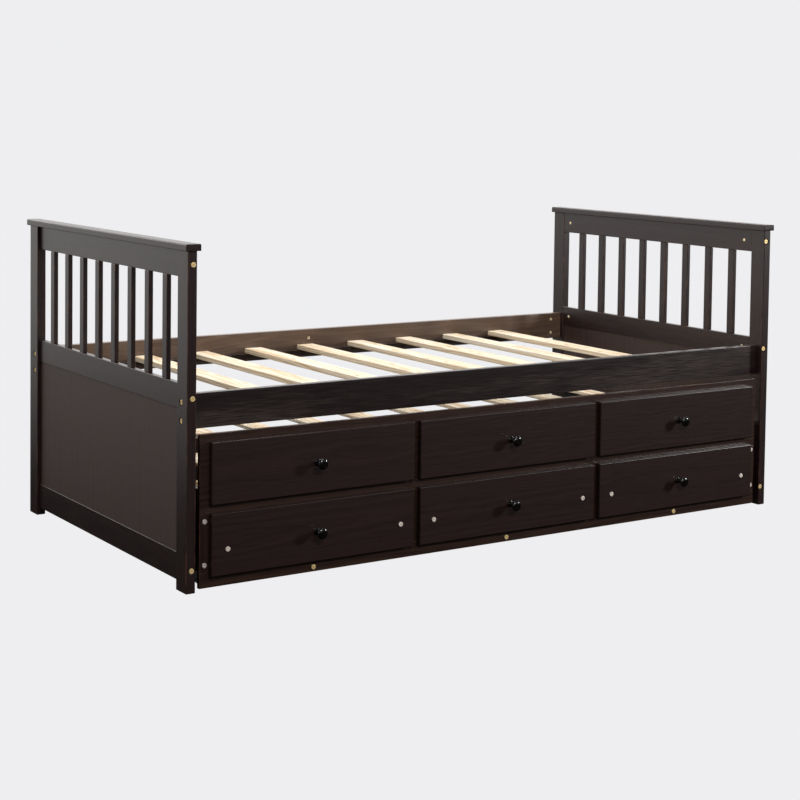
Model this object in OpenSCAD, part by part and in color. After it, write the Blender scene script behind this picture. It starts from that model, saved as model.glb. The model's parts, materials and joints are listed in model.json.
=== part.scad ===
// Twin bed with two slatted end panels and a roll-out trundle below it.
// The trundle has a row of false fronts above a row of three real drawers.
// Millimetres, +Z up, +X along the bed, drawers open towards -Y.
// The origin is on the floor, at the centre of the whole bed's bounding box.

/* [End panels] */
// Length of the bed over the outer faces of the posts
bed_l = 2000; // [1960:5:2040]
// Width of the bed over the front and back faces of the posts
bed_w = 1074; // [1060:2:1100]
// Height of the posts, without the cap
post_h = 865; // [850:5:900]
// Thickness of a post, along the bed
post_t = 26; // [25:1:32]
// Width of a post, across the bed
post_w = 58; // [52:1:60]
// Thickness of the cap board
cap_t = 18; // [15:1:22]
// How far the cap stands past the posts, along the bed
cap_over_x = 8; // [5:1:12]
// How far the cap stands past the posts, across the bed
cap_over_y = 7; // [4:1:10]
// Height of the top rail of an end panel
top_rail_h = 69; // [64:1:72]
// Height of the middle rail of an end panel
mid_rail_h = 65; // [60:1:70]
// Height of the bottom rail of an end panel
low_rail_h = 72; // [65:1:80]
// Underside of the middle rail
mid_rail_z = 461; // [450:1:470]
// Underside of the bottom rail
low_rail_z = 21; // [15:1:30]
// Thickness of the end-panel rails
panel_rail_t = 16; // [15:1:18]
// Step from a post's outer face to the rails
rail_step = 9; // [6:1:10]
// Width of an upright slat
upright_w = 27; // [24:1:32]
// Thickness of an upright slat
upright_t = 13; // [11:1:15]

/* [Side rails and slats] */
// Underside of the side rails
side_rail_z = 413; // [405:1:425]
// Height of the side rails
side_rail_h = 90; // [80:1:100]
// Thickness of the side rails
side_rail_t = 22; // [18:1:25]
// Step from a post's front face to the side rail
side_rail_step = 25; // [20:1:32]
// Width of a mattress slat
slat_w = 60; // [55:1:70]
// Thickness of a mattress slat
slat_t = 16; // [14:1:18]
// Distance from one mattress slat to the next
slat_pitch = 191; // [185:1:194]
// Depth of the slats' top below the top of the side rails
slat_drop = 47; // [40:1:50]
// Width of the square ledge strips that carry the slats
ledge_w = 22; // [18:1:25]

/* [Trundle] */
// Gap between the trundle and a post at each end
trundle_gap = 15; // [12:1:20]
// Step from a post's front face to the trundle's front frame
trundle_step = 10; // [8:1:20]
// Thickness of the trundle's front frame
frame_t = 12; // [11:1:14]
// Underside of the trundle's front frame
frame_z = 6; // [5:1:10]
// Top of the trundle's front frame
frame_top = 400; // [396:1:404]
// Depth of the trundle, front frame to back board
trundle_d = 990; // [960:5:1000]
// Top of the trundle's slats
trundle_slat_z = 258; // [250:1:265]
// Thickness of the trundle's side, back and divider boards
board_t = 18; // [16:1:20]

/* [Fronts and drawers] */
// Width of a drawer front
front_w = 608; // [600:1:610]
// Gap between neighbouring fronts
front_gap = 20; // [16:1:22]
// Thickness of a drawer front
front_t = 18; // [15:1:20]
// Height of a false front in the upper row
false_h = 160; // [155:1:164]
// Height of a drawer front in the lower row
drawer_front_h = 160; // [155:1:162]
// Height of the drawer box
drawer_box_h = 126; // [110:1:128]
// Depth of the drawer box behind its front
drawer_d = 480; // [450:5:520]
// Diameter of a knob
knob_d = 30; // [28:1:32]
// How far a knob stands out
knob_out = 36; // [32:1:40]

/* [Castors] */
// Diameter of a castor wheel
wheel_d = 50; // [48:1:52]
// Width of a castor wheel
wheel_w = 16; // [14:1:18]

/* [Hidden] */
$fn = 40;

espresso = "#251a18";
espresso_inside = "#6a5a4e";
pine = "#e8dcc8";
brass = "#b58a4a";
nickel = "#a08c84";
gloss_black = "#0c0b0b";
steel = "#9a9c9e";
grey_rubber = "#55565a";

// Front and back faces of the posts. The knobs and the caps set the box.
mid_y = (knob_out + front_t - trundle_step - cap_over_y) / 2;
front_y = mid_y - bed_w / 2;
back_y = mid_y + bed_w / 2;

// End panels
post_in_x = bed_l / 2 - post_t;
rail_out_x = bed_l / 2 - rail_step;
rail_in_x = rail_out_x - panel_rail_t;
rail_mid_x = rail_out_x - panel_rail_t / 2;
top_rail_z = post_h - top_rail_h;
mid_rail_top = mid_rail_z + mid_rail_h;
low_rail_top = low_rail_z + low_rail_h;
panel_rail_l = bed_w - 2 * post_w;
uprights = 8;
panel_t = 10;

// Side rails, ledges and slats
rail_face_in = side_rail_step + side_rail_t;
side_rail_top = side_rail_z + side_rail_h;
slat_top_z = side_rail_top - slat_drop;
slat_count = 9;
slat_first_x = 95 - post_in_x;
ledge_x0 = slat_first_x - 15;
ledge_x1 = slat_first_x + (slat_count - 1) * slat_pitch + slat_w + 15;
centre_hole_x = -70;
centre_hole_r = 5;

// Fasteners: flat socket heads in counterbores, and cross dowels
bolt_r = 3;
bolt_hole_r = 3.2;
head_r = 7;
head_t = 3;
sink_r = 8.5;
sink_d = 5;
dowel_r = 5;
dowel_hole_r = 5.05;
dowel_l = 14;
dowel_in = 34;
side_dowel_l = 16;
side_dowel_in = 44;
side_bolt_gap = 48;
panel_bolt_z = [low_rail_z + low_rail_h / 2, mid_rail_z + mid_rail_h / 2,
                top_rail_z + top_rail_h / 2];
side_rail_mid_z = side_rail_z + side_rail_h / 2;
side_bolt_z = [side_rail_mid_z - side_bolt_gap / 2, side_rail_mid_z + side_bolt_gap / 2];

// Trundle
trundle_x = post_in_x - trundle_gap;
frame_y = front_y + trundle_step;
inside_y = frame_y + frame_t;
trundle_back_y = frame_y + trundle_d;
back_in_y = trundle_back_y - board_t;
side_inset = 5;
side_in_x = trundle_x - side_inset - board_t;
side_z = 45;
trundle_slat_t = 12;
trundle_slat_count = 10;
trundle_slat_pitch = (2 * side_in_x - 2) / trundle_slat_count;
trundle_slat_x = trundle_slat_pitch - slat_w - side_in_x;
trundle_ledge = 25;
trundle_ledge_h = 18;
ledge_top = trundle_slat_z - trundle_slat_t;
ledge_z = ledge_top - trundle_ledge_h;
low_board_top = 190;
back_top = 275;

// Fronts
band_top = 20;
band_mid = 23;
front_pitch = front_w + front_gap;
false_z = frame_top - band_top - false_h;
drawer_front_z = false_z - band_mid - drawer_front_h;
lap_x = 28;
lap_z = 8;
open_z0 = drawer_front_z + lap_z;
open_z1 = drawer_front_z + drawer_front_h - lap_z;
open_w = front_w - 2 * lap_x;
knob_dome = 6;
knob_z_false = false_z + false_h / 2;
knob_z_drawer = drawer_front_z + drawer_front_h / 2;

// Drawer boxes
side_t = 12;
box_z = open_z0 + 1;
box_in_x = 38;
box_w = front_w - 2 * box_in_x;
bottom_t = 6;
bottom_lift = 8;
clear = 0.5;
runner_w = 24;
runner_h = 43;
runner_top = box_z + bottom_lift - clear;
front_bolt_z = drawer_front_z + drawer_front_h / 2 - 13;

// Castors
wheel_r = wheel_d / 2;
axle_r = 4;
axle_play = 0.05;
cheek_t = 3;
wheel_play = 1.5;
bracket_w = wheel_w + 2 * (wheel_play + cheek_t);
bracket_top = wheel_d + 22;
divider_x = front_pitch / 2;
side_castor_x = side_in_x - bracket_w / 2;
divider_castor_x = divider_x - board_t / 2 - bracket_w / 2;
castor_front_y = inside_y + 60;
castor_middle_y = (inside_y + back_in_y) / 2;
castor_back_y = back_in_y - 60;

// Small shapes ------------------------------------------------------------

// A box from one corner to the opposite corner
module board(low, high) {
  translate(low) cube(high - low);
}

// A flat-headed socket bolt along +Z, its head's face at the origin
module bolt(len, head = head_r) {
  difference() {
    union() {
      cylinder(r = head, h = head_t);
      cylinder(r = bolt_r, h = head_t + len);
    }
    translate([0, 0, -1]) cylinder(r = 2.3, h = 3, $fn = 6);
  }
}

// A counterbored bolt hole along +Z, its mouth at the origin
module bolt_hole(len) {
  translate([0, 0, -1]) cylinder(r = bolt_hole_r, h = len + 1);
  translate([0, 0, -1]) cylinder(r = sink_r, h = sink_d + 1);
}

// A mushroom knob along +Z, its foot at the origin
module knob() {
  rotate_extrude($fn = 56)
    polygon(concat(
      [[0, 0], [9.5, 0], [9, 2.5], [6.8, 6], [6.2, 12], [7.2, 18], [10, 24]],
      [for (a = [-20 : 10 : 90])
        [knob_d / 2 * pow(cos(a), 0.75), knob_out - knob_dome * (1 - sin(a))]]
    ));
}

// Mirrors a right-hand piece to the left when s is -1
module on_side(s) {
  mirror([s < 0 ? 1 : 0, 0, 0]) children();
}

// Puts children on the front and the back of the bed, bolts pointing in
module at_panel_bolts() {
  for (end = [0, 1], z = panel_bolt_z)
    translate([rail_mid_x, end == 0 ? front_y : back_y, z])
      rotate([end == 0 ? -90 : 90, 0, 0]) children();
}

// Puts children on the outer face of the right-hand posts, pointing in
module at_side_bolts() {
  for (end = [0, 1], z = side_bolt_z)
    translate([bed_l / 2, end == 0 ? front_y + side_rail_step + side_rail_t / 2
                                   : back_y - side_rail_step - side_rail_t / 2, z])
      rotate([0, -90, 0]) children();
}

// Cross dowels of the end-panel rails, standing in from their inner faces
module at_panel_dowels() {
  for (end = [0, 1], z = panel_bolt_z)
    translate([rail_in_x, end == 0 ? front_y + post_w + dowel_in
                                   : back_y - post_w - dowel_in, z])
      rotate([0, 90, 0]) children();
}

// Cross dowels of the side rails, standing in from their inner faces
module at_side_dowels() {
  for (end = [0, 1], z = side_bolt_z)
    translate([post_in_x - side_dowel_in, end == 0 ? front_y + rail_face_in
                                              : back_y - rail_face_in, z])
      rotate([end == 0 ? 90 : -90, 0, 0]) children();
}

// End panels ----------------------------------------------------------------

module post(s, y0) {
  color(espresso) on_side(s) difference() {
    board([post_in_x, y0, 0], [bed_l / 2, y0 + post_w, post_h]);
    at_panel_bolts() bolt_hole(post_w + 2);
    at_side_bolts() bolt_hole(post_t + 2);
  }
}

module cap(s) {
  r = 4;
  w = post_t + 2 * cap_over_x;
  color(espresso) on_side(s)
    translate([bed_l / 2 - post_t / 2, front_y - cap_over_y, post_h])
      rotate([-90, 0, 0]) linear_extrude(bed_w + 2 * cap_over_y)
        polygon([[-w / 2, 0], [w / 2, 0], [w / 2, r - cap_t], [w / 2 - r, -cap_t],
                 [r - w / 2, -cap_t], [-w / 2, r - cap_t]]);
}

module panel_rail(s, z0, z1) {
  color(espresso) on_side(s) difference() {
    board([rail_in_x, front_y + post_w, z0], [rail_out_x, back_y - post_w, z1]);
    at_panel_bolts() cylinder(r = bolt_hole_r, h = post_w + dowel_in + 12);
    at_panel_dowels() translate([0, 0, -1]) cylinder(r = dowel_hole_r, h = dowel_l + 1);
  }
}

module panel(s) {
  color(espresso) on_side(s)
    board([rail_mid_x - panel_t / 2, front_y + post_w, low_rail_top],
          [rail_mid_x + panel_t / 2, back_y - post_w, mid_rail_z]);
}

// Upright slats between the rails, flush with the rails' outer faces
module upright_slats(s) {
  gap = (panel_rail_l - uprights * upright_w) / (uprights + 1);
  color(espresso) on_side(s)
    for (i = [0 : uprights - 1])
      translate([rail_out_x - upright_t,
                 front_y + post_w + gap + i * (upright_w + gap), mid_rail_top])
        cube([upright_t, upright_w, top_rail_z - mid_rail_top]);
}

// Side rails and slats --------------------------------------------------------

module side_rail(y0) {
  color(espresso_inside) difference() {
    board([-post_in_x, y0, side_rail_z], [post_in_x, y0 + side_rail_t, side_rail_top]);
    for (s = [-1, 1]) on_side(s) {
      at_side_bolts() cylinder(r = bolt_hole_r, h = post_t + side_dowel_in + 12);
      at_side_dowels() translate([0, 0, -1])
        cylinder(r = dowel_hole_r, h = side_dowel_l + 1);
    }
  }
}

module front_rail() { side_rail(front_y + side_rail_step); }

module back_rail() {
  difference() {
    side_rail(back_y - rail_face_in);
    translate([centre_hole_x, back_y, side_rail_mid_z + 17]) rotate([90, 0, 0])
      cylinder(r = centre_hole_r, h = rail_face_in + 1);
  }
}

module rail_ledges() {
  z1 = slat_top_z - slat_t;
  color(espresso_inside) for (y0 = [front_y + rail_face_in, back_y - rail_face_in - ledge_w])
    board([ledge_x0, y0, z1 - ledge_w], [ledge_x1, y0 + ledge_w, z1]);
}

module bed_slats() {
  play = 1;
  color(pine) for (i = [0 : slat_count - 1])
    translate([slat_first_x + i * slat_pitch, front_y + rail_face_in + play,
               slat_top_z - slat_t])
      cube([slat_w, bed_w - 2 * (rail_face_in + play), slat_t]);
}

module frame_bolts() {
  color(brass) for (s = [-1, 1]) on_side(s) {
    at_panel_bolts() translate([0, 0, sink_d - head_t]) bolt(post_w + dowel_in);
    at_side_bolts() translate([0, 0, sink_d - head_t]) bolt(post_t + side_dowel_in);
  }
}

// A cross dowel along +Z, with its bolt hole at the middle of its rail
module dowel(len, rail_t) {
  difference() {
    cylinder(r = dowel_r, h = len);
    translate([0, 0, rail_t / 2]) rotate([90, 0, 0])
      cylinder(r = bolt_r + axle_play, h = 3 * dowel_r, center = true);
  }
}

module barrel_nuts() {
  color(nickel) for (s = [-1, 1]) on_side(s) {
    at_panel_dowels() dowel(dowel_l, panel_rail_t);
    at_side_dowels() rotate([0, 0, 90]) dowel(side_dowel_l, side_rail_t);
  }
}

// Trundle ---------------------------------------------------------------------

module trundle_top_board() {
  color(espresso)
    board([-trundle_x, frame_y, open_z1], [trundle_x, inside_y, frame_top]);
}

module trundle_bottom_rail() {
  color(espresso) difference() {
    board([-trundle_x, frame_y, frame_z], [trundle_x, inside_y, open_z0]);
    at_runner_bolts() translate([0, 0, -1]) cylinder(r = bolt_hole_r, h = frame_t + 2);
  }
}

// Two end stiles and two middle stiles between the drawer openings
module trundle_stiles() {
  mid_w = front_gap + 2 * lap_x;
  end_x = 1.5 * front_pitch - front_gap / 2 - lap_x;
  color(espresso) difference() {
    union() {
      for (s = [-1, 1]) on_side(s) {
        board([end_x, frame_y, open_z0], [trundle_x, inside_y, open_z1]);
        board([divider_x - mid_w / 2, frame_y, open_z0],
              [divider_x + mid_w / 2, inside_y, open_z1]);
      }
    }
    for (s = [-1, 1]) on_side(s) at_stile_bolts()
      translate([0, 0, -1]) cylinder(r = bolt_hole_r, h = frame_t + 2);
  }
}

module false_fronts() {
  color(espresso) for (i = [-1 : 1])
    board([i * front_pitch - front_w / 2, frame_y - front_t, false_z],
          [i * front_pitch + front_w / 2, frame_y, false_z + false_h]);
}

module false_front_knobs() {
  color(gloss_black) for (i = [-1 : 1])
    translate([i * front_pitch, frame_y - front_t, knob_z_false])
      rotate([90, 0, 0]) knob();
}

module trundle_sides() {
  color(espresso_inside) for (s = [-1, 1]) on_side(s) difference() {
    board([side_in_x, inside_y, side_z],
          [side_in_x + board_t, back_in_y, trundle_slat_z]);
    at_stile_bolts() cylinder(r = bolt_hole_r, h = 60);
  }
}

// A low board behind the drawers, and a rail behind the slats' ends
module trundle_back() {
  color(espresso_inside) for (z = [[side_z, low_board_top], [ledge_z, back_top]])
    board([-side_in_x - board_t, back_in_y, z[0]],
          [side_in_x + board_t, trundle_back_y, z[1]]);
}

module trundle_dividers() {
  color(espresso_inside) for (s = [-1, 1]) on_side(s)
    board([divider_x - board_t / 2, inside_y, side_z],
          [divider_x + board_t / 2, back_in_y, low_board_top]);
}

module trundle_ledges() {
  color(espresso_inside) for (y0 = [inside_y, back_in_y - trundle_ledge])
    board([-side_in_x, y0, ledge_z], [side_in_x, y0 + trundle_ledge, ledge_top]);
}

module drawer_runners() {
  color(pine) for (i = [-1 : 1]) difference() {
    board([i * front_pitch - runner_w / 2, inside_y, runner_top - runner_h],
          [i * front_pitch + runner_w / 2, back_in_y, runner_top]);
    at_runner_bolts() cylinder(r = bolt_hole_r, h = 60);
  }
}

module trundle_slats() {
  color(pine) for (i = [0 : trundle_slat_count - 1])
    translate([trundle_slat_x + i * trundle_slat_pitch, inside_y + 1, ledge_top])
      cube([slat_w, back_in_y - inside_y - 2, trundle_slat_t]);
}

// Bolts through the end stiles into the ends of the side boards
module at_stile_bolts() {
  for (z = [side_z + 20, open_z1 - 12])
    translate([side_in_x + board_t / 2, frame_y, z]) rotate([-90, 0, 0]) children();
}

// Bolts through the bottom rail into the ends of the runners
module at_runner_bolts() {
  for (i = [-1 : 1])
    translate([i * front_pitch, frame_y, runner_top - runner_h + 8])
      rotate([-90, 0, 0]) children();
}

module trundle_bolts() {
  head = 6.5;
  color(nickel) {
    for (s = [-1, 1]) on_side(s)
      at_stile_bolts() translate([0, 0, -head_t]) bolt(50, head);
    at_runner_bolts() translate([0, 0, -head_t]) bolt(50, head);
  }
}

// Castors -----------------------------------------------------------------------

// Puts children at each wheel's centre: four corners and one by each divider
module at_castors() {
  for (s = [-1, 1]) {
    for (y = [castor_front_y, castor_back_y])
      translate([s * side_castor_x, y, wheel_r]) children();
    translate([s * divider_castor_x, castor_middle_y, wheel_r]) children();
  }
}

// A bent steel fork: two cheeks under a top plate, open below
module castor_brackets() {
  half = bracket_w / 2;
  cheek_h = bracket_top - wheel_r;
  color(steel) at_castors() difference() {
    translate([-half, -16, -9]) cube([bracket_w, 32, cheek_h + 9]);
    translate([cheek_t - half, -17, -10])
      cube([bracket_w - 2 * cheek_t, 34, cheek_h + 10 - cheek_t]);
    rotate([0, 90, 0]) cylinder(r = axle_r, h = bracket_w + 2, center = true);
  }
}

module castor_axles() {
  color(steel) at_castors() rotate([0, 90, 0])
    cylinder(r = axle_r, h = bracket_w, center = true);
}

module castor_wheel(x, y) {
  r = 3;
  w = wheel_w / 2;
  bore = axle_r + axle_play;
  color(grey_rubber) translate([x, y, wheel_r]) rotate([0, 90, 0]) rotate_extrude($fn = 64)
    polygon([[bore, -w], [9, -w], [9, 1 - w], [wheel_r - 8, 1 - w], [wheel_r - 6, -w],
             [wheel_r - r, -w], [wheel_r, r - w], [wheel_r, w - r], [wheel_r - r, w],
             [wheel_r - 6, w], [wheel_r - 8, w - 1], [9, w - 1], [9, w], [bore, w]]);
}

// Drawers: i is -1, 0 or 1 for the left, middle or right drawer -------------------

module at_front_bolts(i) {
  for (s = [-1, 1])
    translate([i * front_pitch + s * (box_w / 2 - side_t / 2), frame_y - front_t,
               front_bolt_z])
      rotate([-90, 0, 0]) children();
}

module drawer_front(i) {
  color(espresso) difference() {
    board([i * front_pitch - front_w / 2, frame_y - front_t, drawer_front_z],
          [i * front_pitch + front_w / 2, frame_y - clear, drawer_front_z + drawer_front_h]);
    at_front_bolts(i) translate([0, 0, -1]) cylinder(r = bolt_hole_r, h = front_t + 2);
  }
}

module drawer_sides(i) {
  color(pine) difference() {
    for (s = [-1, 1])
      translate([i * front_pitch + s * (box_w - side_t) / 2 - side_t / 2,
                 frame_y - clear, box_z])
        cube([side_t, drawer_d, drawer_box_h]);
    at_front_bolts(i) cylinder(r = bolt_hole_r, h = 60);
  }
}

module drawer_back(i) {
  half = box_w / 2 - side_t;
  y1 = frame_y - clear + drawer_d;
  color(pine)
    board([i * front_pitch - half, y1 - side_t, box_z + bottom_lift + bottom_t],
          [i * front_pitch + half, y1, box_z + drawer_box_h]);
}

module drawer_bottom(i) {
  half = box_w / 2 - side_t;
  color(pine)
    board([i * front_pitch - half, frame_y - clear, box_z + bottom_lift],
          [i * front_pitch + half, frame_y - clear + drawer_d,
           box_z + bottom_lift + bottom_t]);
}

module drawer_knob(i) {
  color(gloss_black) translate([i * front_pitch, frame_y - front_t, knob_z_drawer])
    rotate([90, 0, 0]) knob();
}

module drawer_bolts(i) {
  color(nickel) at_front_bolts(i) translate([0, 0, -head_t]) bolt(45, 6.5);
}

// Assembly ------------------------------------------------------------------------

post(-1, front_y);  // left_front_post
post(-1, back_y - post_w);  // left_back_post
cap(-1);  // left_cap
panel_rail(-1, top_rail_z, post_h);  // left_top_rail
panel_rail(-1, mid_rail_z, mid_rail_top);  // left_middle_rail
panel_rail(-1, low_rail_z, low_rail_top);  // left_bottom_rail
panel(-1);  // left_panel
upright_slats(-1);  // left_uprights
post(1, front_y);  // right_front_post
post(1, back_y - post_w);  // right_back_post
cap(1);  // right_cap
panel_rail(1, top_rail_z, post_h);  // right_top_rail
panel_rail(1, mid_rail_z, mid_rail_top);  // right_middle_rail
panel_rail(1, low_rail_z, low_rail_top);  // right_bottom_rail
panel(1);  // right_panel
upright_slats(1);  // right_uprights
front_rail();
back_rail();
rail_ledges();
bed_slats();
frame_bolts();
barrel_nuts();
trundle_top_board();
trundle_bottom_rail();
trundle_stiles();
false_fronts();
false_front_knobs();
trundle_sides();
trundle_back();
trundle_dividers();
trundle_ledges();
drawer_runners();
trundle_slats();
trundle_bolts();
castor_brackets();
castor_axles();
castor_wheel(-side_castor_x, castor_front_y);  // wheel_front_left
castor_wheel(side_castor_x, castor_front_y);  // wheel_front_right
castor_wheel(-divider_castor_x, castor_middle_y);  // wheel_middle_left
castor_wheel(divider_castor_x, castor_middle_y);  // wheel_middle_right
castor_wheel(-side_castor_x, castor_back_y);  // wheel_back_left
castor_wheel(side_castor_x, castor_back_y);  // wheel_back_right
drawer_front(-1);  // drawer_left_front
drawer_sides(-1);  // drawer_left_sides
drawer_back(-1);  // drawer_left_back
drawer_bottom(-1);  // drawer_left_bottom
drawer_knob(-1);  // drawer_left_knob
drawer_bolts(-1);  // drawer_left_bolts
drawer_front(0);  // drawer_middle_front
drawer_sides(0);  // drawer_middle_sides
drawer_back(0);  // drawer_middle_back
drawer_bottom(0);  // drawer_middle_bottom
drawer_knob(0);  // drawer_middle_knob
drawer_bolts(0);  // drawer_middle_bolts
drawer_front(1);  // drawer_right_front
drawer_sides(1);  // drawer_right_sides
drawer_back(1);  // drawer_right_back
drawer_bottom(1);  // drawer_right_bottom
drawer_knob(1);  // drawer_right_knob
drawer_bolts(1);  // drawer_right_bolts
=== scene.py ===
import json
import math
import random

import bmesh
import bpy
from mathutils import Matrix, Vector


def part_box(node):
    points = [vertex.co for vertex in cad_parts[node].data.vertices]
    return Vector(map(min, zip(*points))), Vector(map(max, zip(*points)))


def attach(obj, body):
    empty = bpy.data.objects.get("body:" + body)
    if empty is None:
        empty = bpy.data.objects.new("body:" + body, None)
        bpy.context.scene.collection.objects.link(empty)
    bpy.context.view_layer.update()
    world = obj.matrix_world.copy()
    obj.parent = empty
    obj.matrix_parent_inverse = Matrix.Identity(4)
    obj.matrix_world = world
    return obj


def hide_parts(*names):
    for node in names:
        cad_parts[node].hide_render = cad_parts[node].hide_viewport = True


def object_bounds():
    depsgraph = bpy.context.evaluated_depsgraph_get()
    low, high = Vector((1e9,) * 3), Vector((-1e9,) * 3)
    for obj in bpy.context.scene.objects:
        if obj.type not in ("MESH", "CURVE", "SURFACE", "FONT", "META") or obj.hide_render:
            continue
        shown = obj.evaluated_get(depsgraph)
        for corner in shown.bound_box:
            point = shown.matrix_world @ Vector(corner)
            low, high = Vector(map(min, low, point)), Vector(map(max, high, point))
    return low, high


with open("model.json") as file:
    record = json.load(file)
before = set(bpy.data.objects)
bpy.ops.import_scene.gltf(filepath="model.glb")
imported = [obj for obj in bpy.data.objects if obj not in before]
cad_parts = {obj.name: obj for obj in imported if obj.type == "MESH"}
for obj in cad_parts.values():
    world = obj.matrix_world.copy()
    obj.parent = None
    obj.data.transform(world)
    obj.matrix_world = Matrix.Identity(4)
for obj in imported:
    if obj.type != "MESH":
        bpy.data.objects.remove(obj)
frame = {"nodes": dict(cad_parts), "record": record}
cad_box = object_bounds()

MM = 0.001
X, Y, Z = 0, 1, 2
TINY = 1e-6

# The body that each node moves with, and its material slot.
NODE_BODY = {}
for body_name, members in frame["record"]["behaviour"]["bodies"].items():
    for member in members:
        NODE_BODY[member] = body_name
NODE_SLOT = {row["node"]: row["material_slot"] for row in frame["record"]["subparts"]}


# ---- Materials: one small function adds a node, and one turns hex to linear ----

def linear(hexcode):
    """An sRGB hex colour as linear RGBA, by the standard's own curve."""
    out = []
    for i in (0, 2, 4):
        c = int(hexcode[i:i + 2], 16) / 255
        out.append(c / 12.92 if c <= 0.04045 else ((c + 0.055) / 1.055) ** 2.4)
    return (*out, 1.0)


def add(tree, kind, inputs=None, stops=(), **settings):
    """Adds a node with its settings. An input is a value, or a node or output to link; stops are a
    ramp's (position, hex) pairs."""
    made = tree.nodes.new(kind)
    for key, value in settings.items():
        setattr(made, key, value)
    for key, value in (inputs or {}).items():
        if isinstance(value, bpy.types.Node):
            value = next(out for out in value.outputs if out.enabled)
        if isinstance(value, bpy.types.NodeSocket):
            tree.links.new(value, made.inputs[key])
        else:
            made.inputs[key].default_value = value
    if stops:
        points = made.color_ramp.elements
        while len(points) < len(stops):
            points.new(0.5)
        for point, (position, hexcode) in zip(points, stops):
            point.position = position
            point.color = linear(hexcode)
    return made


def finish_of(name, build, **shading):
    """A new material: build(tree) gives the shader's linked inputs, shading its plain ones."""
    material = bpy.data.materials.new(name)
    material.use_nodes = True
    tree = material.node_tree
    tree.nodes.clear()
    inputs = dict(build(tree))
    inputs.update({key.replace("_", " ").title().replace("Ior", "IOR"): value
                   for key, value in shading.items()})
    shader = add(tree, "ShaderNodeBsdfPrincipled", inputs)
    add(tree, "ShaderNodeOutputMaterial", {"Surface": shader})
    return material


# Slow clouds in the wood, in clouds per metre along the grain and across it, and how far they make
# the rings wander, in rings. A fibre's width and length: real pores are finer than a render can
# show, so they are drawn this coarse.
CLOUDS_PER_M = (1.6, 9.0, 9.0)
RING_WANDER = 7.0
FIBRE_MM = 1.1
FIBRE_LENGTH_MM = 70.0

# The height of a pore or ripple; worn patches per metre; places that may hold a knot, per metre; the
# red-brown of worn stain, and a knot's rim and heart.
RELIEF = 0.1 * MM
WORN_PER_M = 22.0
KNOTS_PER_M = (2.6, 11.0, 2.0)
WORN_STAIN = "6a4230"
KNOT_RIM, KNOT_HEART = "c79a66", "7c4d2b"

# From where to where each noise is spread: the rings and fibres together, the haze, the worn
# patches and the fibres alone. The gloss varies by the last pair.
FIGURE_SPAN = (0.75, 1.3)
HAZE_SPAN = (0.24, 0.4)
WORN_SPAN = (0.45, 0.65)
FIBRE_SPAN = (0.3, 0.7)
GLOSS_SPAN = (-0.04, 0.06)


def timber_figure(tree, ring_mm):
    """What every board shows: uneven growth rings about its log's heart, fine fibres along the
    grain, and slow clouds."""
    grain = add(tree, "ShaderNodeAttribute", attribute_name="grain").outputs["Vector"]
    slow = add(tree, "ShaderNodeMapping", {"Vector": grain, "Scale": CLOUDS_PER_M})
    cloud = add(tree, "ShaderNodeTexNoise", {"Vector": slow, "Scale": 1.0, "Detail": 2.0})
    flat = add(tree, "ShaderNodeMapping", {"Vector": grain, "Scale": (0.0, 1.0, 1.0)})
    radius = add(tree, "ShaderNodeVectorMath", {0: flat}, operation="LENGTH").outputs["Value"]
    turns = add(tree, "ShaderNodeMath", {0: radius, 1: 1 / (ring_mm * MM)}, operation="MULTIPLY")
    bent = add(tree, "ShaderNodeMath", {0: cloud, 1: RING_WANDER, 2: turns},
               operation="MULTIPLY_ADD")
    rings = add(tree, "ShaderNodeTexNoise", {"W": bent, "Scale": 1.0, "Detail": 3.0},
                noise_dimensions="1D")
    across = 1 / (FIBRE_MM * MM)
    fine = add(tree, "ShaderNodeMapping", {
        "Vector": grain, "Scale": (1 / (FIBRE_LENGTH_MM * MM), across, across)})
    fibres = add(tree, "ShaderNodeTexNoise", {
        "Vector": fine, "Scale": 1.0, "Detail": 3.0, "Roughness": 0.6})
    return grain, rings, fibres, cloud


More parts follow.
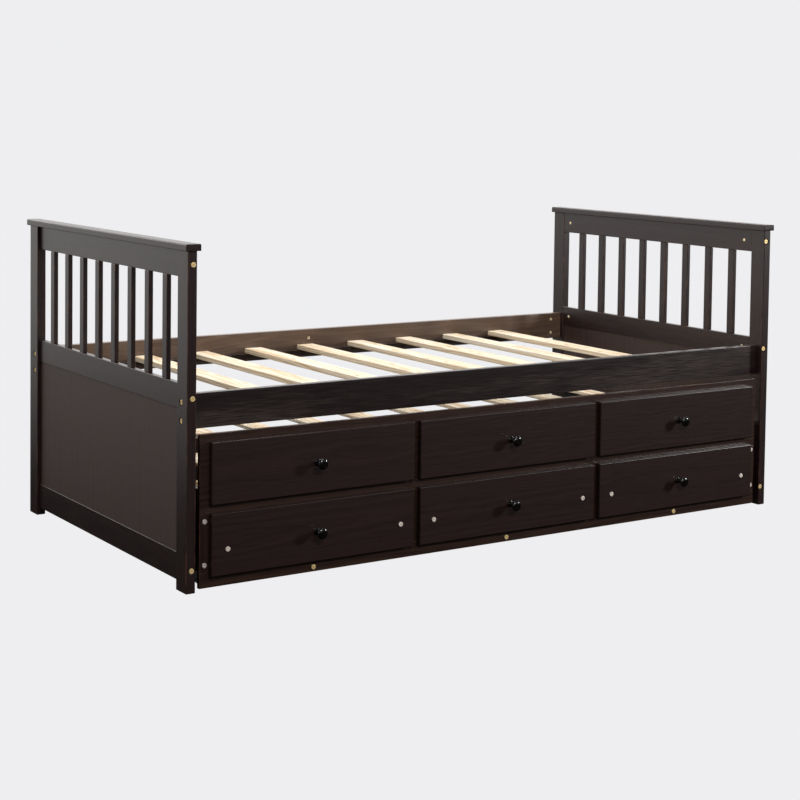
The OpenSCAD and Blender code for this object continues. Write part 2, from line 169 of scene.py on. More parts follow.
def stained_pine(name, dark, light, ring_mm=6.0, haze=None, wear=0.0, pores=0.25, gloss=0.3):
    """Pine under a satin espresso lacquer: almost black, with faint rings and fibres. Where the
    lacquer is thin, on some arrises, the stain shows red-brown; haze greys the fibres."""
    def build(tree):
        grain, rings, fibres, cloud = timber_figure(tree, ring_mm)
        figure = add(tree, "ShaderNodeMath", {0: rings, 1: fibres}, operation="ADD")
        level = add(tree, "ShaderNodeMapRange", {
            "Value": figure, "From Min": FIGURE_SPAN[0], "From Max": FIGURE_SPAN[1]})
        tone = add(tree, "ShaderNodeValToRGB", {0: level}, stops=[(0.0, dark), (1.0, light)])
        if haze:
            part = add(tree, "ShaderNodeMath", {0: cloud, 1: fibres}, operation="MULTIPLY")
            amount = add(tree, "ShaderNodeMapRange", {
                "Value": part, "From Min": HAZE_SPAN[0], "From Max": HAZE_SPAN[1]})
            tone = add(tree, "ShaderNodeMix", {0: amount, 6: tone, 7: linear(haze)},
                       data_type="RGBA")
        if wear:
            edge = add(tree, "ShaderNodeAttribute", attribute_name="edge").outputs["Fac"]
            patches = add(tree, "ShaderNodeTexNoise", {"Vector": grain, "Scale": WORN_PER_M,
                                                       "Detail": 3.0})
            bare = add(tree, "ShaderNodeMapRange", {
                "Value": patches, "From Min": WORN_SPAN[0], "From Max": WORN_SPAN[1],
                "To Max": wear})
            worn = add(tree, "ShaderNodeMath", {0: edge, 1: bare}, operation="MULTIPLY")
            tone = add(tree, "ShaderNodeMix", {0: worn, 6: tone, 7: linear(WORN_STAIN)},
                       data_type="RGBA")
        rough = add(tree, "ShaderNodeMapRange", {
            "Value": fibres, "From Min": FIBRE_SPAN[0], "From Max": FIBRE_SPAN[1],
            "To Min": gloss + GLOSS_SPAN[0], "To Max": gloss + GLOSS_SPAN[1]})
        bump = add(tree, "ShaderNodeBump", {
            "Height": figure, "Strength": pores, "Distance": RELIEF})
        return {"Base Color": tone, "Roughness": rough, "Normal": bump}
    return finish_of(name, build, ior=1.5)


def bare_pine(name, early, late, pale, ring_mm=9.0, knots=0.0):
    """Sanded bare pine: pale earlywood, soft tan latewood streaks, now and then a brown knot."""
    def build(tree):
        grain, rings, fibres, cloud = timber_figure(tree, ring_mm)
        tone = add(tree, "ShaderNodeValToRGB", {0: rings}, stops=[
            (0.3, pale), (0.48, early), (0.58, late), (0.7, early)])
        amount = add(tree, "ShaderNodeMapRange", {
            "Value": fibres, "From Min": 0.4, "From Max": 0.8, "To Max": 0.3})
        tone = add(tree, "ShaderNodeMix", {0: amount, 6: tone, 7: linear(late)},
                   data_type="RGBA")
        if knots:
            place = add(tree, "ShaderNodeMapping", {"Vector": grain, "Scale": KNOTS_PER_M})
            cells = add(tree, "ShaderNodeTexVoronoi", {
                "Vector": place, "Scale": 1.0, "Randomness": 1.0}, voronoi_dimensions="2D")
            for reach, hexcode in ((knots, KNOT_RIM), (knots / 2, KNOT_HEART)):
                inside = add(tree, "ShaderNodeMapRange", {
                    "Value": cells.outputs["Distance"], "From Min": reach / 2,
                    "From Max": reach, "To Min": 1.0, "To Max": 0.0})
                tone = add(tree, "ShaderNodeMix", {0: inside, 6: tone, 7: linear(hexcode)},
                           data_type="RGBA")
        bump = add(tree, "ShaderNodeBump", {
            "Height": fibres, "Strength": 0.3, "Distance": RELIEF})
        return {"Base Color": tone, "Normal": bump}
    return finish_of(name, build, roughness=0.6, ior=1.5)


PLATING_CLOUD_MM = 4
ENAMEL_RIPPLE_MM = 6
RUBBER_PIT_MM = 0.8


def clouded(tree, cloud_mm, dull, tint):
    """An even colour that clouds a little between two tones, and the clouds themselves."""
    place = add(tree, "ShaderNodeTexCoord").outputs["Object"]
    cloud = add(tree, "ShaderNodeTexNoise", {
        "Vector": place, "Scale": 1 / (cloud_mm * MM), "Detail": 3.0})
    return add(tree, "ShaderNodeValToRGB", {0: cloud}, stops=[(0.3, dull), (0.7, tint)]), cloud


def plated_steel(name, tint, dull, roughness, metallic=1.0):
    """Plated steel: an even metal whose plating is a little cloudy. Tarnish makes it less of a
    mirror and more of a pale powder."""
    def build(tree):
        return {"Base Color": clouded(tree, PLATING_CLOUD_MM, dull, tint)[0]}
    return finish_of(name, build, metallic=metallic, roughness=roughness)


def black_enamel(name):
    """Turned wood under thick gloss black enamel: mirror-like with a faint ripple."""
    def build(tree):
        tone, ripple = clouded(tree, ENAMEL_RIPPLE_MM, "060505", "0d0b0a")
        bump = add(tree, "ShaderNodeBump", {
            "Height": ripple, "Strength": 0.12, "Distance": RELIEF})
        return {"Base Color": tone, "Normal": bump}
    return finish_of(name, build, roughness=0.12, ior=1.5)


def grey_rubber(name):
    """Moulded grey rubber: matt, with a fine moulded texture."""
    def build(tree):
        tone, pits = clouded(tree, RUBBER_PIT_MM, "4a4b4d", "606163")
        bump = add(tree, "ShaderNodeBump", {
            "Height": pits, "Strength": 0.3, "Distance": RELIEF})
        return {"Base Color": tone, "Normal": bump}
    return finish_of(name, build, roughness=0.7, ior=1.5)


# By the frame's material slot. The panels are a wider-ringed board under duller lacquer, and the
# rails have so thin a stain that their fibres show grey.
FINISHES = {
    "espresso_wood": stained_pine("espresso lacquer on pine", "201413", "281a18", wear=0.5),
    "espresso_panel": stained_pine("espresso lacquer on board", "2a1913", "3a261e", ring_mm=12.0,
                                   pores=0.12, gloss=0.6),
    "espresso_rail": stained_pine("thin espresso stain on pine", "140c0b", "201513", ring_mm=4.0,
                                  haze="3e3431", wear=0.2, pores=0.3),
    "pine_slat": bare_pine("sanded pine", "f1e2c8", "d5b68e", "f7eddc", knots=0.05),
    "drawer_pine": bare_pine("sanded drawer pine", "e2cda6", "c9a777", "ecdcbd", ring_mm=6.0,
                             knots=0.05),
    "drawer_ply": bare_pine("rotary cut plywood", "dcc296", "c6a26e", "e3cfa6", ring_mm=24.0),
    "brass_bolt": plated_steel("yellow zinc plate", "f6e0aa", "d8b678", 0.5, metallic=0.6),
    "nickel_fitting": plated_steel("nickel plate", "fbeee4", "dccdc3", 0.5, metallic=0.6),
    "black_knob": black_enamel("gloss black enamel"),
    "steel_fork": plated_steel("bright zinc plate", "c4c7c9", "9da0a2", 0.35),
    "grey_wheel": grey_rubber("moulded grey rubber"),
}
# Finishes that share a slot with others: the face frame's lacquer is worn on its arrises, the drawer
# fronts' is thick and even, and the back rail's espresso stain is drawn light brown: painted bounce
# light from the pine slats.
FRAME_FRONT = stained_pine("espresso lacquer on face frame", "22140f", "35231b", wear=0.8)
DRAWER_FRONT = stained_pine("thick espresso lacquer on drawer fronts", "211413", "281a18",
                            pores=0.15)
# Painted bounce light: the back rail's espresso stain is drawn light brown, as if lit by the pine
# slats.
SLAT_BOUNCE_RAIL = stained_pine("espresso stain with painted slat bounce light", "4b3a30", "6c5748", ring_mm=5.0, wear=0.2)
RAW_BORE = bare_pine("pine cut by the drill", "f3e9d4", "ead9bc", "f8f1e2")
PALE_BRASS = plated_steel("tarnished brass", "fff0cf", "f0d8a4", 0.6, metallic=0.3)


# ---- Reading the frame ----

# Corners closer than WELD are one corner, and boxes are put in order by places rounded to a tenth
# of a millimetre.
WELD = 0.01 * MM
ORDER_DIGITS = 4


def solids(node):
    """The boxes of a node's separate solids, as (low, high), in order along X, then Y, then Z."""
    work = bmesh.new()
    work.from_mesh(frame["nodes"][node].data)
    bmesh.ops.remove_doubles(work, verts=work.verts, dist=WELD)
    found = []
    left = set(work.verts)
    while left:
        stack = [left.pop()]
        island = []
        while stack:
            vert = stack.pop()
            island.append(vert.co.copy())
            for edge in vert.link_edges:
                other = edge.other_vert(vert)
                if other in left:
                    left.remove(other)
                    stack.append(other)
        low = Vector([min(p[i] for p in island) for i in range(3)])
        high = Vector([max(p[i] for p in island) for i in range(3)])
        found.append((low, high))
    work.free()
    return sorted(found, key=lambda box: [round(place, ORDER_DIGITS) for place in box[0]])


# ---- Making timber ----

class Timber:
    """Collects shapes into one mesh, with each board's grain coordinates and its edges."""

    def __init__(self, name):
        self.name = name
        self.verts, self.faces, self.grain, self.edge, self.slot = [], [], [], [], []

    def take(self, work, grain_of, edge_of, slot_of=lambda face: 0):
        """Adds a bmesh. grain_of gives a point's grain coordinates, edge_of a face's wear, slot_of
        the place of its finish in the list."""
        start = len(self.verts)
        work.verts.index_update()
        for vert in work.verts:
            self.verts.append(vert.co[:])
            self.grain.append(grain_of(vert.co))
        for face in work.faces:
            self.faces.append([start + v.index for v in face.verts])
            self.edge.append(edge_of(face))
            self.slot.append(slot_of(face))
        work.free()

    def finish(self, node, finishes, smooth_angle=40):
        """The finished piece, riding on the node's body and standing for the node."""
        mesh = bpy.data.meshes.new(self.name)
        mesh.from_pydata(self.verts, [], self.faces)
        grain = mesh.attributes.new("grain", "FLOAT_VECTOR", "POINT")
        grain.data.foreach_set("vector", [c for g in self.grain for c in g])
        edge = mesh.attributes.new("edge", "FLOAT", "FACE")
        edge.data.foreach_set("value", self.edge)
        for finish in finishes:
            mesh.materials.append(finish)
        mesh.polygons.foreach_set("material_index", self.slot)
        mesh.polygons.foreach_set("use_smooth", [True] * len(mesh.polygons))
        mesh.validate()
        piece = bpy.data.objects.new(self.name, mesh)
        bpy.context.scene.collection.objects.link(piece)
        mesh.set_sharp_from_angle(angle=math.radians(smooth_angle))
        even = piece.modifiers.new("even shading", "WEIGHTED_NORMAL")
        even.keep_sharp = True
        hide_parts(node)
        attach(piece, NODE_BODY[node])
        return piece


def seeded(*words):
    """Random numbers that come out the same each time for the same words."""
    return random.Random("/".join(str(w) for w in words))


# Where a board lay in its log, in metres: the heart's distance along the board's width and through
# its thickness, how far the board leans over a metre, and how far along the grain it may start.
HEART_ASIDE = 0.03
HEART_BELOW = (0.035, 0.07)
LEAN = 0.02
GRAIN_RUN = 40


def grain_frame(low, high, along, seed):
    """Grain coordinates of a board sawn from a log: its heart lies well to one side of the board,
    and a little askew, so the rings run out as long arches on the faces."""
    dice = seeded(seed)
    across = [a for a in (X, Y, Z) if a != along]
    wide, thin = sorted(across, key=lambda a: low[a] - high[a])
    middle = (low + high) / 2
    heart_wide = dice.uniform(-HEART_ASIDE, HEART_ASIDE)
    heart_thin = dice.choice((-1, 1)) * dice.uniform(*HEART_BELOW)
    tilt = dice.uniform(-LEAN, LEAN)
    start = dice.uniform(0, GRAIN_RUN)

    def grain_of(p):
        u = p[along] - low[along]
        return (u + start, p[wide] - middle[wide] - heart_wide + tilt * u,
                p[thin] - middle[thin] - heart_thin)
    return grain_of


def block(low, high, ease, steps=3):
    """A box as a bmesh, its edges eased by a small radius."""
    work = bmesh.new()
    bmesh.ops.create_cube(work, size=1.0)
    size = high - low
    for vert in work.verts:
        vert.co = Vector([low[i] + (vert.co[i] + 0.5) * size[i] for i in range(3)])
    bmesh.ops.bevel(work, geom=work.edges[:], offset=ease, segments=steps, profile=0.5,
                    affect="EDGES", clamp_overlap=True)
    return work


def on_arris(low, high, ease):
    """Tells whether a face lies on an eased edge of the board: its middle is then less than most
    of the easing away from two sides at once."""
    near = 0.95 * ease

    def edge_of(face):
        middle = face.calc_center_median()
        close = 0
        for i in range(3):
            if min(middle[i] - low[i], high[i] - middle[i]) < near:
                close += 1
        return 1.0 if close >= 2 else 0.0
    return edge_of


def longest(low, high):
    """The axis along which a box is longest."""
    size = high - low
    return max((X, Y, Z), key=lambda a: size[a])


def cut(work, cutters):
    """Cuts holes into a bmesh, each cutter a bmesh of its own."""
    mesh = bpy.data.meshes.new("stock")
    work.to_mesh(mesh)
    work.free()
    stock = bpy.data.objects.new("stock", mesh)
    bpy.context.scene.collection.objects.link(stock)
    tools = bmesh.new()
    for cutter in cutters:
        part = bpy.data.meshes.new("tool")
        cutter.to_mesh(part)
        cutter.free()
        tools.from_mesh(part)
        bpy.data.meshes.remove(part)
    tool_mesh = bpy.data.meshes.new("tools")
    tools.to_mesh(tool_mesh)
    tools.free()
    tool = bpy.data.objects.new("tools", tool_mesh)
    bpy.context.scene.collection.objects.link(tool)
    saw = stock.modifiers.new("holes", "BOOLEAN")
    saw.operation = "DIFFERENCE"
    saw.solver = "EXACT"
    saw.object = tool
    graph = bpy.context.evaluated_depsgraph_get()
    result = bmesh.new()
    result.from_object(stock, graph)
    for spent in (stock, tool):
        data = spent.data
        bpy.data.objects.remove(spent)
        bpy.data.meshes.remove(data)
    return result


def rod(start, direction, radius, length, sides=32):
    """A plain cylinder as a bmesh, from start along direction."""
    work = bmesh.new()
    bmesh.ops.create_cone(work, cap_ends=True, segments=sides, radius1=radius, radius2=radius,
                          depth=length)
    turn = Vector((0, 0, 1)).rotation_difference(direction).to_matrix().to_4x4()
    move = Matrix.Translation(start + direction * length / 2)
    bmesh.ops.transform(work, matrix=move @ turn, verts=work.verts)
    return work


def lathe(profile, start, direction, sides=48):
    """A turned shape as a bmesh: profile is (radius, height) from start along direction."""
    work = bmesh.new()
    rows = []
    for radius, height in profile:
        if radius < TINY:
            rows.append([work.verts.new((0, 0, height))])
            continue
        rows.append([work.verts.new((radius * math.cos(2 * math.pi * i / sides),
                                     radius * math.sin(2 * math.pi * i / sides), height))
                     for i in range(sides)])
    for lower, upper in zip(rows, rows[1:]):
        for i in range(sides):
            j = (i + 1) % sides
            if len(lower) == 1:
                work.faces.new((lower[0], upper[j], upper[i]))
            elif len(upper) == 1:
                work.faces.new((lower[i], lower[j], upper[0]))
            else:
                work.faces.new((lower[i], lower[j], upper[j], upper[i]))
    bmesh.ops.recalc_face_normals(work, faces=work.faces)
    turn = Vector((0, 0, 1)).rotation_difference(direction).to_matrix().to_4x4()
    bmesh.ops.transform(work, matrix=Matrix.Translation(start) @ turn, verts=work.verts)
    return work


def no_grain(p):
    """Grain coordinates of a piece that isn't wood: its own place."""
    return (p[0], p[1], p[2])


def no_edge(face):
    """Wear of a piece that has no worn arris."""
    return 0.0


# A cross dowel's radius, its hole's radius, and how much longer the hole's cutter is.
DOWEL_R = 5 * MM
DOWEL_HOLE_R = 5.3 * MM
DOWEL_HOLE_OVER = 1.5 * MM


def dowel_axes():
    """(middle of the end that shows, direction into the wood, length) of each cross dowel. A
    dowel goes in from the bed's inside, along its shorter level side."""
    found = []
    for low, high in solids("barrel_nuts"):
        size = high - low
        axis = max((X, Y), key=lambda a: size[a])
        start = (low + high) / 2
        into = Vector((0, 0, 0))
        into[axis] = 1.0 if start[axis] > 0 else -1.0
        start[axis] = low[axis] if into[axis] > 0 else high[axis]
        found.append((start, into, size[axis]))
    return found


DOWELS = dowel_axes()


def dowel_holes(low, high):
    """Hole cutters for the dowels that go into a board."""
    made = []
    for start, into, length in DOWELS:
        if all(low[i] - TINY <= start[i] <= high[i] + TINY for i in range(3)):
            made.append(rod(start - into * MM, into, DOWEL_HOLE_R, length + DOWEL_HOLE_OVER))
    return made


def boards(node, ease=1.5, along=None, finishes=None):
    """Makes every solid of a node as an eased board with its own grain and its dowel holes."""
    timber = Timber(node + "_board")
    ease *= MM
    for count, (low, high) in enumerate(solids(node)):
        work = block(low, high, ease)
        holes = dowel_holes(low, high)
        if holes:
            work = cut(work, holes)
        axis = longest(low, high) if along is None else along
        timber.take(work, grain_frame(low, high, axis, (node, count)), on_arris(low, high, ease))
    return timber.finish(node, finishes or [FINISHES[NODE_SLOT[node]]])


# ---- Bolts ----

# Bolts along Y that lie farther back than this go in from behind. All bolts have the same head
# thickness and shank.
BEHIND_Y = 0.3
HEAD_T = 3 * MM
SHANK_R = 3 * MM


def bolt_axes(node):
    """(head centre, direction into the wood, length) of each bolt of a node. The head's end is the
    one nearer the outside of the bed."""
    found = []
    for low, high in solids(node):
        axis = longest(low, high)
        middle = (low + high) / 2
        outward = 1.0 if axis == X and middle.x > 0 else -1.0
        if axis == Y:
            outward = 1.0 if middle.y > BEHIND_Y else -1.0
        head = middle.copy()
        head[axis] = high[axis] if outward > 0 else low[axis]
        into = Vector((0, 0, 0))
        into[axis] = -outward
        found.append((head, into, high[axis] - low[axis]))
    return found


def socket_bolt(head_r, length, centre, into):
    """A flat-headed bolt with a rounded rim and a hexagon socket."""
    rim, steps = 0.8 * MM, 4
    socket_r = 0.36 * head_r
    socket_depth = 0.75 * HEAD_T
    profile = [(0, length), (SHANK_R, length), (SHANK_R, HEAD_T), (head_r, HEAD_T),
               (head_r, rim)]
    for i in range(1, steps + 1):
        turn = math.pi / 2 * i / steps
        profile.append((head_r - rim * (1 - math.cos(turn)), rim * (1 - math.sin(turn))))
    profile.append((0, 0))
    body = lathe(profile, centre, into, sides=40)
    hexagon = rod(centre - into * MM, into, socket_r, MM + socket_depth, sides=6)
    return cut(body, [hexagon])


def bolts(node, head_r, pick):
    """The bolts of a node, each in the finish that pick gives for it."""
    timber = Timber(node + "_set")
    finishes = []
    for centre, into, length in bolt_axes(node):
        finish = pick(centre)
        if finish not in finishes:
            finishes.append(finish)
        place = finishes.index(finish)
        work = socket_bolt(head_r, length, centre, into)
        timber.take(work, no_grain, no_edge, lambda face: place)
    return timber.finish(node, finishes, smooth_angle=35)


# A counterbore in a post: its radius, its depth, how far the bolt's head sits below the face, and
# the width and depth of the broken edge round its mouth.
POST_BOLTS = bolt_axes("frame_bolts")
SINK_R = 8.5 * MM
SINK_DEPTH = 5 * MM
SINK_BACK = 2 * MM
SINK_EDGE, SINK_EDGE_DEPTH = 0.6 * MM, 0.7 * MM


def post(node):
    """A post with its counterbored bolt holes."""
    low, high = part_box(node)
    ease = 2 * MM
    work = block(low, high, ease)
    cutters = []
    for centre, into, length in POST_BOLTS:
        inside = all(low[i] - TINY <= centre[i] <= high[i] + TINY for i in range(3))
        if not inside:
            continue
        mouth = centre - into * SINK_BACK
        profile = [(0, -MM), (SINK_R + 2 * SINK_EDGE, -MM), (SINK_R + SINK_EDGE, 0),
                   (SINK_R, SINK_EDGE_DEPTH), (SINK_R, SINK_DEPTH), (0, SINK_DEPTH)]
        cutters.append(lathe(profile, mouth, into, sides=40))
    work = cut(work, cutters)
    timber = Timber(node + "_board")
    timber.take(work, grain_frame(low, high, Z, node), on_arris(low, high, ease))
    return timber.finish(node, [FINISHES["espresso_wood"]])


def cap(node):
    """The cap board: its upper long edges are rounded over and its other edges eased."""
    low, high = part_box(node)
    work = bmesh.new()
    round_over, steps = 4 * MM, 5
    ease = 1.2 * MM
    worn = 2 * MM
    outline = []
    for side in (1, -1):
        corner_x = high.x - round_over if side > 0 else low.x + round_over
        arc = []
        for i in range(steps + 1):
            turn = math.pi / 2 * i / steps
            arc.append((corner_x + side * round_over * math.cos(turn),
                        high.z - round_over + round_over * math.sin(turn)))
        outline += arc if side > 0 else arc[::-1]
    outline = [(high.x, low.z + ease), (high.x - ease, low.z)][::-1] + outline
    outline = outline + [(low.x, low.z + ease), (low.x + ease, low.z)]
    rows = []
    for inset, y in ((ease, low.y), (0, low.y + ease), (0, high.y - ease), (ease, high.y)):
        middle = Vector(((low.x + high.x) / 2, (low.z + high.z) / 2))
        half = Vector(((high.x - low.x) / 2, (high.z - low.z) / 2))
        shrink = ((half.x - inset) / half.x, (half.y - inset) / half.y)
        rows.append([work.verts.new((middle.x + (px - middle.x) * shrink[0], y,
                                     middle.y + (pz - middle.y) * shrink[1]))
                     for px, pz in outline])
    count = len(outline)
    for one, two in zip(rows, rows[1:]):
        for i in range(count):
            j = (i + 1) % count
            work.faces.new((one[i], one[j], two[j], two[i]))
    work.faces.new(rows[0][::-1])
    work.faces.new(rows[-1])
    bmesh.ops.recalc_face_normals(work, faces=work.faces)
    timber = Timber(node + "_board")
    timber.take(work, grain_frame(low, high, Y, node), on_arris(low, high, worn))
    return timber.finish(node, [FINISHES["espresso_wood"]])


def side_rail(node):
    """A side rail; the back one is drawn a lighter brown, which is painted bounce light from the
    pine slats, and has a clear hole near its middle, whose wall is raw wood."""
    low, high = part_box(node)
    ease = 2 * MM
    work = block(low, high, ease)
    holes = dowel_holes(low, high)
    finishes, in_bore = [FINISHES["espresso_rail"]], lambda face: 0
    if node == "back_rail":
        mount = next(m for m in frame["record"]["mounts"] if m["name"] == "centre_hole_back")
        centre = Vector(mount["pos_m"])
        radius = mount["dims"]["r_mm"] * MM
        start = Vector((centre.x, low.y - MM, centre.z))
        holes.append(rod(start, Vector((0, 1, 0)), radius, high.y - low.y + 2 * MM))
        # The back rail's lighter brown finish is painted bounce light from the pine slats.
        finishes = [SLAT_BOUNCE_RAIL, RAW_BORE]

        def in_bore(face):
            """1 for a face of the hole's wall, 0 elsewhere."""
            middle = face.calc_center_median()
            away = math.hypot(middle.x - centre.x, middle.z - centre.z)
            return 1 if away < radius + TINY and abs(face.normal.y) < 0.5 else 0
    work = cut(work, holes)
    timber = Timber(node + "_board")
    timber.take(work, grain_frame(low, high, X, node), on_arris(low, high, ease), in_bore)
    return timber.finish(node, finishes)


def cross_dowels():
    """Cross dowels: short barrels with a screwdriver slot in the end that shows."""
    timber = Timber("cross_dowels")
    rim = 0.5 * MM
    bulge = 0.3 * rim
    slot_depth, slot_wide, slot_high, slot_ease = 1.2 * MM, 0.9 * MM, 6 * MM, 0.05 * MM
    for start, into, length in DOWELS:
        profile = [(0, 0), (DOWEL_R - rim, 0), (DOWEL_R - bulge, bulge), (DOWEL_R, rim),
                   (DOWEL_R, length - rim), (DOWEL_R - rim, length), (0, length)]
        body = lathe(profile, start, into, sides=32)
        half = Vector([slot_depth if c else slot_wide for c in into])
        half[Z] = slot_high
        body = cut(body, [block(start - half, start + half, slot_ease, steps=1)])
        timber.take(body, no_grain, no_edge)
    return timber.finish("barrel_nuts", [PALE_BRASS], smooth_angle=35)


# ---- Knobs and castors ----

def knobs(node):
    """Mushroom knobs: a stepped foot, a slim waist that flares out and a shallow domed head."""
    timber = Timber(node + "_turned")
    foot_r, foot_h, foot_edge, foot_step = 9.4 * MM, 2.4 * MM, 0.6 * MM, 1.4 * MM
    waist_r, waist_h, neck_r, neck_drop = 6.2 * MM, 11 * MM, 10 * MM, 1.5 * MM
    lip_drop, dome_h = 8.2 * MM, 6 * MM
    sweep, fullness, lip_in = 2.2, 0.62, 0.9
    steps, dome_steps, tuck = 8, 14, 18
    for low, high in solids(node):
        start = Vector(((low.x + high.x) / 2, high.y, (low.z + high.z) / 2))
        out = high.y - low.y
        head_r = (high.x - low.x) / 2
        lip_h = out - lip_drop
        profile = [(0, 0), (foot_r, 0), (foot_r, foot_h - foot_edge), (foot_r - foot_edge, foot_h)]
        for i in range(steps + 1):
            part = i / steps
            profile.append((waist_r + (foot_r - foot_step - waist_r) * (1 - part) ** sweep,
                            foot_h + (waist_h - foot_h) * part))
        for i in range(1, steps + 1):
            part = i / steps
            profile.append((waist_r + (neck_r - waist_r) * part ** sweep,
                            waist_h + (lip_h - neck_drop - waist_h) * part))
        profile.append((head_r * lip_in, lip_h))
        for i in range(dome_steps):
            turn = math.radians(-tuck + (90 + tuck) * i / dome_steps)
            profile.append((head_r * math.cos(turn) ** fullness,
                            out - dome_h * (1 - math.sin(turn))))
        profile.append((0, out))
        timber.take(lathe(profile, start, Vector((0, -1, 0)), sides=56), no_grain, no_edge)
    return timber.finish(node, [FINISHES["black_knob"]], smooth_angle=50)


def castor_forks():
    """Bent steel forks: thin cheeks with round lower ends under a flat top."""
    timber = Timber("castor_forks")
    thick, bend_r, foot_r, narrow = 3 * MM, 1.5 * MM, 8 * MM, 20 * MM
    for low, high in solids("castor_brackets"):
        work = bmesh.new()
        outer = [(low.x, low.z), (low.x, high.z), (high.x, high.z), (high.x, low.z)]
        inner = [(high.x - thick, low.z), (high.x - thick, high.z - thick),
                 (low.x + thick, high.z - thick), (low.x + thick, low.z)]
        outline = outer + inner
        front = [work.verts.new((px, low.y, pz)) for px, pz in outline]
        back = [work.verts.new((px, high.y, pz)) for px, pz in outline]
        count = len(outline)
        for i in range(count):
            j = (i + 1) % count
            work.faces.new((front[i], front[j], back[j], back[i]))
        work.faces.new(front)
        work.faces.new(back[::-1])
        bmesh.ops.recalc_face_normals(work, faces=work.faces)
        foot = [e for e in work.edges
                if abs(e.verts[0].co.x - e.verts[1].co.x) > TINY
                and max(v.co.z for v in e.verts) < low.z + TINY]
        bmesh.ops.bevel(work, geom=foot, offset=foot_r, segments=6, profile=0.5,
                        affect="EDGES", clamp_overlap=True)
        bends = [e for e in work.edges
                 if abs(e.verts[0].co.y - e.verts[1].co.y) > narrow
                 and min(v.co.z for v in e.verts) > high.z - TINY]
        bmesh.ops.bevel(work, geom=bends, offset=bend_r, segments=4, profile=0.5,
                        affect="EDGES", clamp_overlap=True)
        timber.take(work, no_grain, no_edge)
    return timber.finish("castor_brackets", [FINISHES["steel_fork"]], smooth_angle=30)


def castor_axles():
    """Axle rods, their ends slightly chamfered."""
    timber = Timber("castor_axle_rods")
    rim = 0.6 * MM
    for low, high in solids("castor_axles"):
        middle = (low + high) / 2
        length = high.x - low.x
        radius = (high.z - low.z) / 2
        profile = [(0, 0), (radius - rim, 0), (radius, rim), (radius, length - rim),
                   (radius - rim, length), (0, length)]
        timber.take(lathe(profile, Vector((low.x, middle.y, middle.z)), Vector((1, 0, 0)), sides=32),
                    no_grain, no_edge)
    return timber.finish("castor_axles", [FINISHES["steel_fork"]], smooth_angle=35)


def wheel(node):
    """A castor wheel: crowned rubber tread, dished web, raised hub."""
    low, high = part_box(node)
    middle = (low + high) / 2
    width = high.x - low.x
    radius = (high.z - low.z) / 2
    hub_r, hub_edge, bore_r = 9 * MM, 0.6 * MM, 4.05 * MM
    rim_in = radius - 7 * MM
    rim_step, rim_drop = 0.8 * MM, 0.4 * MM
    dish = 2.2 * MM
    crown, steps = 3 * MM, 6
    half = [(bore_r, 0), (hub_r - hub_edge, 0), (hub_r, hub_edge), (hub_r, dish),
            (rim_in, dish), (rim_in + rim_step, rim_drop), (rim_in + 2 * rim_step, 0)]
    for i in range(steps + 1):
        turn = math.pi / 2 * i / steps
        half.append((radius - crown + crown * math.sin(turn), crown * (1 - math.cos(turn))))
    profile = half + [(r, width - h) for r, h in half[::-1]]
    profile.append((bore_r, 0))
    timber = Timber(node + "_tyre")
    timber.take(lathe(profile, Vector((low.x, middle.y, middle.z)), Vector((1, 0, 0)), sides=64),
                no_grain, no_edge)
    return timber.finish(node, [FINISHES["grey_wheel"]], smooth_angle=40)


# ---- Putting the bed together ----

# The radius of the bolt heads in the bed's frame and in the trundle's fronts. The trundle's bolts
# below this height are the yellow ones that hold the drawer runners.
FRAME_HEAD_R = 7 * MM
FRONT_HEAD_R = 6.5 * MM
RUNNER_BOLT_TOP = 40 * MM

for side in ("left", "right"):
    post(side + "_front_post")
    post(side + "_back_post")
    cap(side + "_cap")
    for rail in ("top_rail", "middle_rail", "bottom_rail"):
        boards(f"{side}_{rail}")
    boards(side + "_panel", ease=0.4, along=Z)
    boards(side + "_uprights", ease=2.0)
side_rail("front_rail")
side_rail("back_rail")
boards("rail_ledges")
boards("bed_slats", ease=2.5)
bolts("frame_bolts", FRAME_HEAD_R, lambda centre: FINISHES["brass_bolt"])
cross_dowels()

for node in ("trundle_top_board", "trundle_bottom_rail", "trundle_stiles"):
    boards(node, ease=1.0, finishes=[FRAME_FRONT], along=X if "stiles" not in node else Z)
boards("false_fronts", ease=2.5, finishes=[DRAWER_FRONT])
for node in ("trundle_sides", "trundle_back", "trundle_dividers", "trundle_ledges"):
    boards(node)
boards("drawer_runners", ease=1.0)
boards("trundle_slats", ease=2.5)
knobs("false_front_knobs")
bolts("trundle_bolts", FRONT_HEAD_R,
      lambda centre: FINISHES["brass_bolt" if centre.z < RUNNER_BOLT_TOP else "nickel_fitting"])
castor_forks()
castor_axles()
for node in frame["nodes"]:
    if node.startswith("wheel_"):
        wheel(node)

for side in ("left", "middle", "right"):
    boards(f"drawer_{side}_front", ease=2.5, finishes=[DRAWER_FRONT])
    boards(f"drawer_{side}_sides")
    boards(f"drawer_{side}_back", ease=1.0)
    boards(f"drawer_{side}_bottom", ease=0.3, along=X)
    knobs(f"drawer_{side}_knob")
    bolts(f"drawer_{side}_bolts", FRONT_HEAD_R, lambda centre: FINISHES["nickel_fitting"])


# ---- Studio ----

# The floor's light grows along this direction, between these two distances, from dim to bright;
# the wall's grows with its height.
BRIGHT_WAY = (-3.0, 1.0, 0.0)
FLOOR_REACH, FLOOR_LIGHT = (4.5, 15.0), (0.02, 0.85)
WALL_REACH, WALL_LIGHT = (0.5, 3.0), 1.6

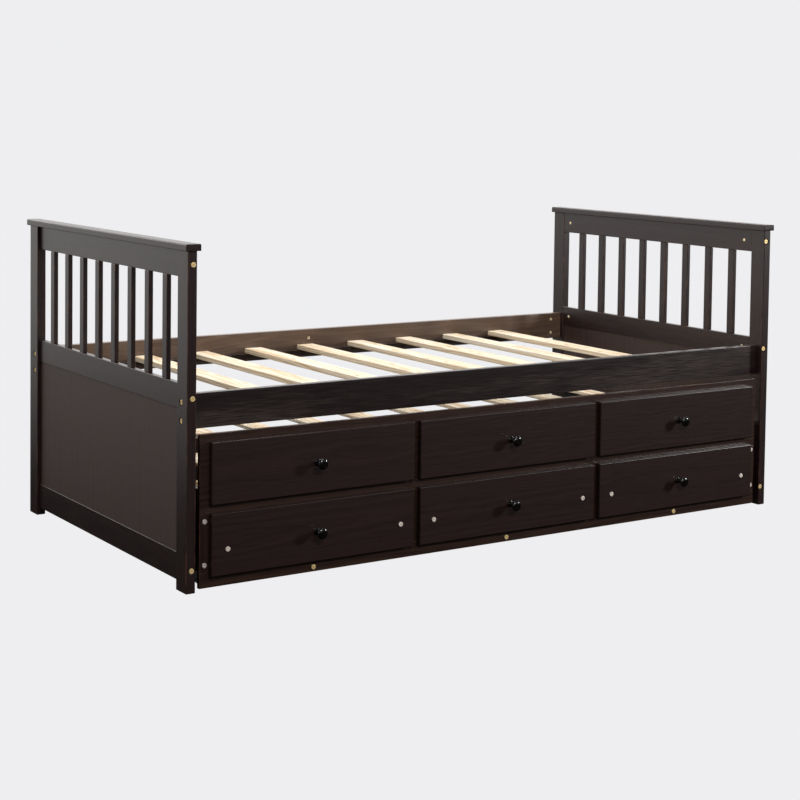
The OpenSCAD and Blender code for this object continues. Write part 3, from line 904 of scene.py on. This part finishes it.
# What the lights face, the glow of the air around, and the colours of the paper, of its light and
# of the air. Then the camera: its place, its yaw, pitch and roll in degrees, its lens, how far its
# picture is shifted right and up, and how far it sees, in metres.
BED_MIDDLE = Vector((0, 0, 0.4))
SKY_GLOW = 0.25
PAPER, PAPER_LIGHT, SKY = "eeeef0", "fbfaf8", "f4f5f8"
EYE_PLACE = (-2.89578, -4.45963, 1.21557)
EYE_TURN = (34.55, -3.18, 0.85)
LENS_MM, SENSOR_MM = 78.59, 36.0
SHIFT = (-0.075, -0.2365)
SEES_TO = 100


def studio():
    """A seamless pale sweep, floor and wall in one sheet. It looks evenly pale; as a light it is
    dim in front of the bed, bright far behind its left end, and brightest up on the wall, so the
    lacquered fronts stay dark and the upper faces gleam."""
    work = bmesh.new()
    reach, wall_height, bend, steps = 14.0, 9.0, 3.0, 12
    path = [(-reach, 0.0), (reach - bend, 0.0)]
    for i in range(1, steps + 1):
        turn = math.pi / 2 * i / steps
        path.append((reach - bend + bend * math.sin(turn), bend * (1 - math.cos(turn))))
    path.append((reach, wall_height))
    rows = [[work.verts.new((x, y, z + cad_box[0][Z])) for x in (-2 * reach, 2 * reach)]
            for y, z in path]
    for one, two in zip(rows, rows[1:]):
        work.faces.new((one[0], one[1], two[1], two[0]))
    mesh = bpy.data.meshes.new("studio_sweep")
    work.to_mesh(mesh)
    work.free()
    mesh.polygons.foreach_set("use_smooth", [True] * len(mesh.polygons))
    sweep = bpy.data.objects.new("studio_sweep", mesh)
    bpy.context.scene.collection.objects.link(sweep)
    paper = bpy.data.materials.new("pale studio paper")
    paper.use_nodes = True
    tree = paper.node_tree
    tree.nodes.clear()
    place = add(tree, "ShaderNodeTexCoord").outputs["Object"]
    away = add(tree, "ShaderNodeVectorMath", {0: place, 1: BRIGHT_WAY},
               operation="DOT_PRODUCT").outputs["Value"]
    floor = add(tree, "ShaderNodeMapRange", {
        "Value": away, "From Min": FLOOR_REACH[0], "From Max": FLOOR_REACH[1],
        "To Min": FLOOR_LIGHT[0], "To Max": FLOOR_LIGHT[1]})
    height = add(tree, "ShaderNodeSeparateXYZ", {0: place}).outputs["Z"]
    up = add(tree, "ShaderNodeMapRange", {
        "Value": height, "From Min": WALL_REACH[0], "From Max": WALL_REACH[1],
        "To Max": WALL_LIGHT})
    power = add(tree, "ShaderNodeMath", {0: floor, 1: up}, operation="ADD")
    seen = add(tree, "ShaderNodeEmission", {"Color": linear(PAPER)})
    lit = add(tree, "ShaderNodeEmission", {"Color": linear(PAPER_LIGHT), "Strength": power})
    eye = add(tree, "ShaderNodeLightPath").outputs["Is Camera Ray"]
    both = add(tree, "ShaderNodeMixShader", {0: eye, 1: lit, 2: seen})
    add(tree, "ShaderNodeOutputMaterial", {"Surface": both})
    mesh.materials.append(paper)


def soft_light(name, place, size, power):
    """A soft white box at place, facing the middle of the bed."""
    data = bpy.data.lights.new(name, "AREA")
    data.shape = "RECTANGLE"
    data.size, data.size_y = size
    data.energy = power
    lamp = bpy.data.objects.new(name, data)
    lamp.location = place
    lamp.rotation_euler = (BED_MIDDLE - Vector(place)).to_track_quat("-Z", "Y").to_euler()
    bpy.context.scene.collection.objects.link(lamp)


def camera():
    """The camera, off the front of the bed's left-hand end and above the height of its caps."""
    data = bpy.data.cameras.new("camera")
    data.sensor_width = SENSOR_MM
    data.lens = LENS_MM
    data.shift_x, data.shift_y = SHIFT
    data.clip_end = SEES_TO
    eye = bpy.data.objects.new("camera", data)
    yaw, pitch, roll = (math.radians(a) for a in EYE_TURN)
    forward = Vector((math.sin(yaw) * math.cos(pitch), math.cos(yaw) * math.cos(pitch),
                      math.sin(pitch)))
    right = Vector((math.cos(yaw), -math.sin(yaw), 0))
    up = right.cross(forward)
    right_rolled = right * math.cos(roll) + up * math.sin(roll)
    up_rolled = up * math.cos(roll) - right * math.sin(roll)
    turn = Matrix((right_rolled, up_rolled, -forward)).transposed()
    eye.matrix_world = Matrix.Translation(EYE_PLACE) @ turn.to_4x4()
    bpy.context.scene.collection.objects.link(eye)
    bpy.context.scene.camera = eye


studio()
world = bpy.data.worlds.new("studio")
world.use_nodes = True
sky = world.node_tree.nodes["Background"]
sky.inputs["Color"].default_value = linear(SKY)
sky.inputs["Strength"].default_value = SKY_GLOW
bpy.context.scene.world = world
bpy.context.scene.view_settings.view_transform = "Standard"
soft_light("key", place=(4.4, -3.6, 1.9), size=(0.8, 0.8), power=165)
soft_light("fill", place=(-1.0, -4.6, 2.9), size=(1.8, 0.9), power=105)
soft_light("left", place=(-4.5, -0.5, 2.0), size=(1.5, 1.5), power=40)
soft_light("top", place=(0.0, 0.6, 4.5), size=(3.0, 2.0), power=160)
camera()
